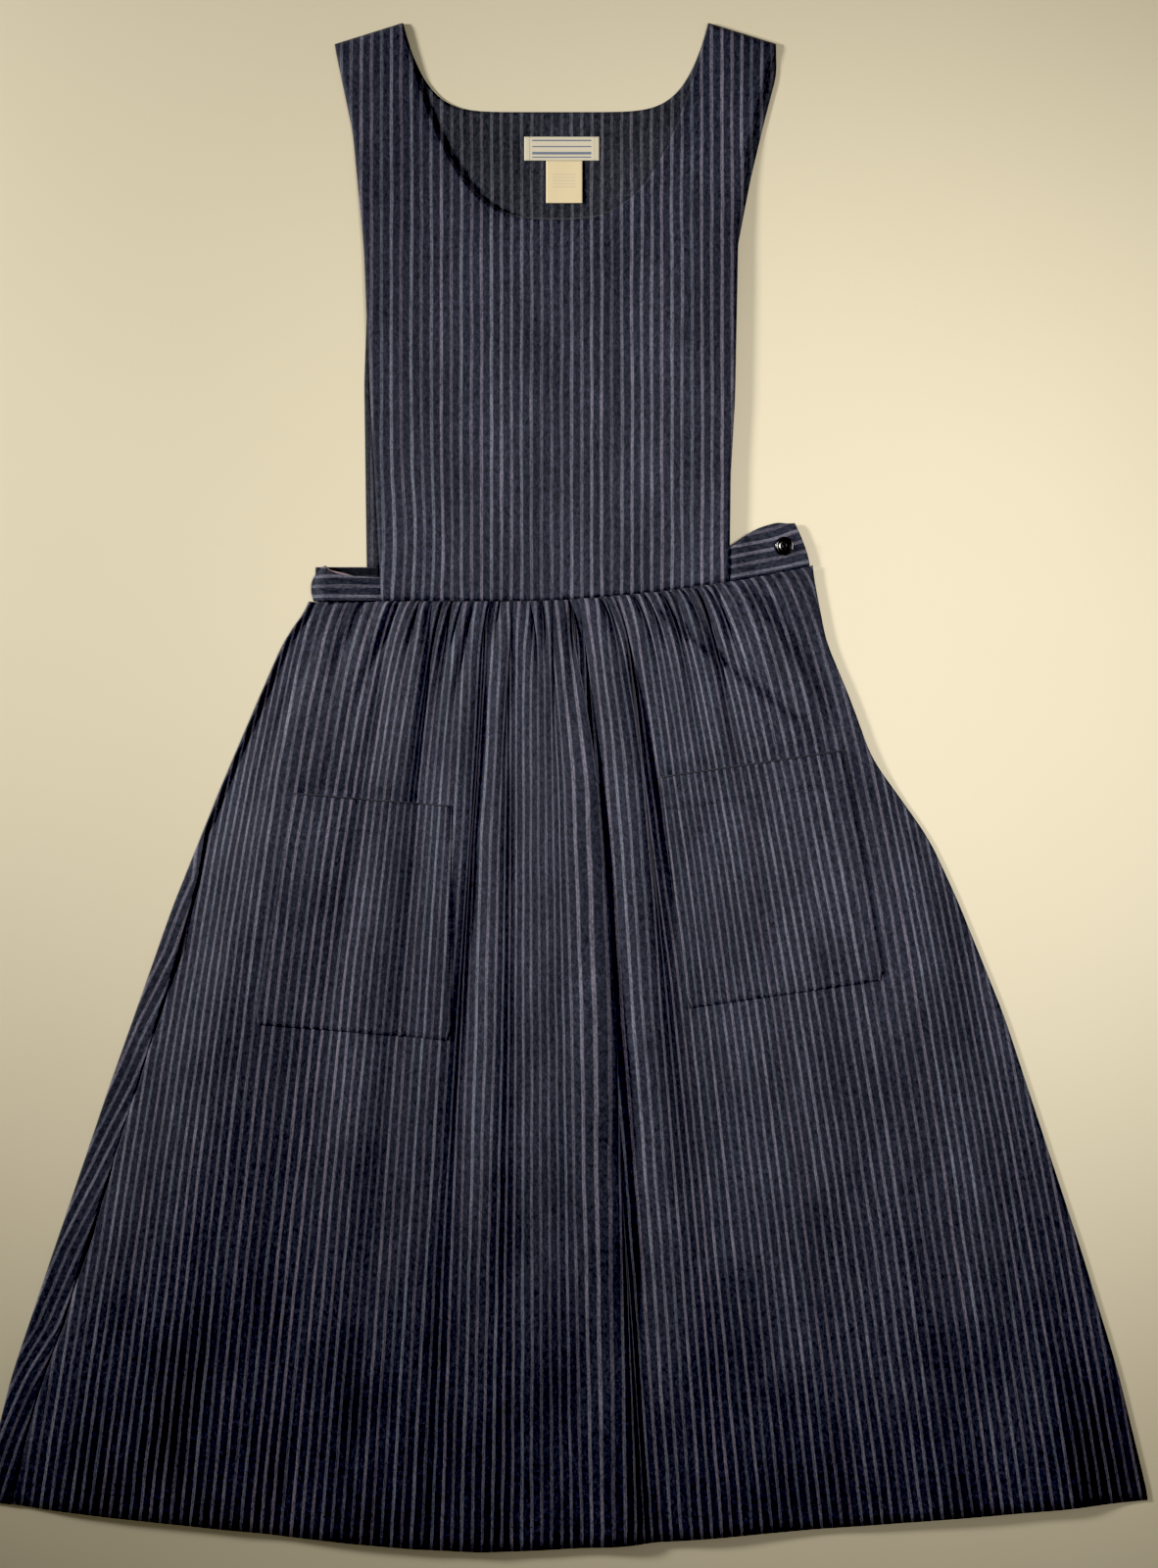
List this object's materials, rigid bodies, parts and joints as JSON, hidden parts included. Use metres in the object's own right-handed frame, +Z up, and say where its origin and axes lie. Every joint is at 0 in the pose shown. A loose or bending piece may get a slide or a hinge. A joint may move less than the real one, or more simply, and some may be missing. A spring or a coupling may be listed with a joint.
{
  "type": "pinafore apron dress",
  "caption": "Striped denim pinafore apron dress lying flat: bib with wide straps, gathered flared skirt, patch pockets and a buttoned side opening.",
  "frame": {"origin": "on the surface that the dress lies on, under the middle of its outline", "axes": "+Y from the hem to the shoulders, +Z up out of the front of the dress, +X to the buttoned side"},
  "size_m": [0.932, 1.223, 0.0136],
  "materials": {
    "denim": "yarn-dyed twill denim with fine pale stripes",
    "denim_inside": "wrong side of the same striped denim",
    "woven_label": "damask woven label",
    "satin_label": "satin ribbon",
    "button": "polished black resin",
    "thread": "polyester sewing thread",
    "interfacing": "non-woven fusible interfacing"
  },
  "bodies": {
    "dress": {"back_skirt": "denim", "front_skirt": "denim", "back_opening_facing": "denim_inside", "back_bib": "denim", "back_bib_lining": "denim_inside", "front_bib": "denim", "front_bib_lining": "denim_inside", "back_waistband": "denim", "back_waistband_facing": "denim_inside", "left_waistband": "denim", "left_waistband_facing": "denim_inside", "right_waistband": "denim", "right_waistband_facing": "denim_inside", "left_pocket": "denim", "right_pocket": "denim", "neck_label": "woven_label", "neck_label_stitching_left": "thread", "neck_label_stitching_right": "thread"},
    "side_corner": {"skirt_corner": "denim", "front_opening_facing": "denim_inside", "waistband_lap": "denim", "waistband_lap_facing": "denim_inside", "lap_interfacing": "interfacing", "buttonhole_stitching": "thread"},
    "button": {"side_button": "button", "button_thread": "thread"},
    "care_label": {"care_label": "satin_label"}
  },
  "joints": [
    {"name": "side_corner_fold", "type": "hinge", "parent": "dress", "child": "side_corner", "pos_m": [0.152, 0.1678, 0.0094], "axis": [0.5575, -0.8302, 0], "range_deg": [0, 150]},
    {"name": "button_twist", "type": "hinge", "parent": "dress", "child": "button", "pos_m": [0.17381, 0.19267, 0.0062], "axis": [0, 0, 1], "range_deg": [-30, 30], "stiffness_Nm_per_rad": 0.0002},
    {"name": "care_label_flip", "type": "hinge", "parent": "dress", "child": "care_label", "pos_m": [-0.002, 0.5013, 0.0029], "axis": [-1, 0, 0], "range_deg": [0, 165]}
  ]
}
